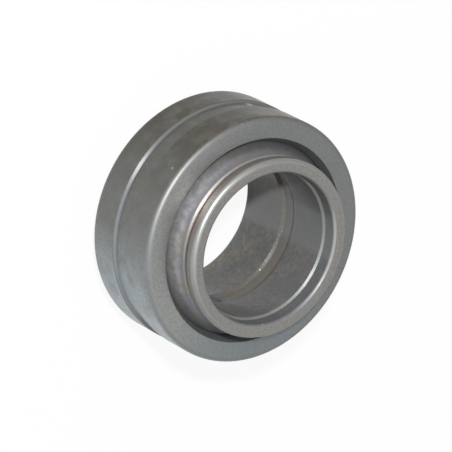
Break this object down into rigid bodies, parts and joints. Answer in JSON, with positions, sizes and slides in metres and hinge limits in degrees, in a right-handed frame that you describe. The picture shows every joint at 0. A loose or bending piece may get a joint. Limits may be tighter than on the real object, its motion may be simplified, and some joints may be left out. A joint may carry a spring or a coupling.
{
  "type": "spherical plain bearing",
  "caption": "Open steel spherical plain bearing: a grooved outer ring with a spherical raceway holds a wide inner ring that swivels and carries a shaft in its bore.",
  "frame": {"origin": "centre of the ball, which is the middle of both rings and the point they swivel about", "axes": "+Z along the bore, +X through the two lubrication holes of the inner ring"},
  "size_m": [0.042, 0.042, 0.025],
  "materials": {
    "outer_ring_steel": "ground and dark phosphated, satin",
    "inner_ring_steel": "ground and dark phosphated, satin"
  },
  "bodies": {
    "outer_ring": {"outer_ring": "outer_ring_steel"},
    "inner_ring": {"inner_ring": "inner_ring_steel"}
  },
  "joints": [
    {"name": "ring_tilt", "type": "hinge", "parent": "outer_ring", "child": "inner_ring", "pos_m": [0, 0, 0], "axis": [1, 0, 0], "range_deg": [-10, 10]}
  ]
}
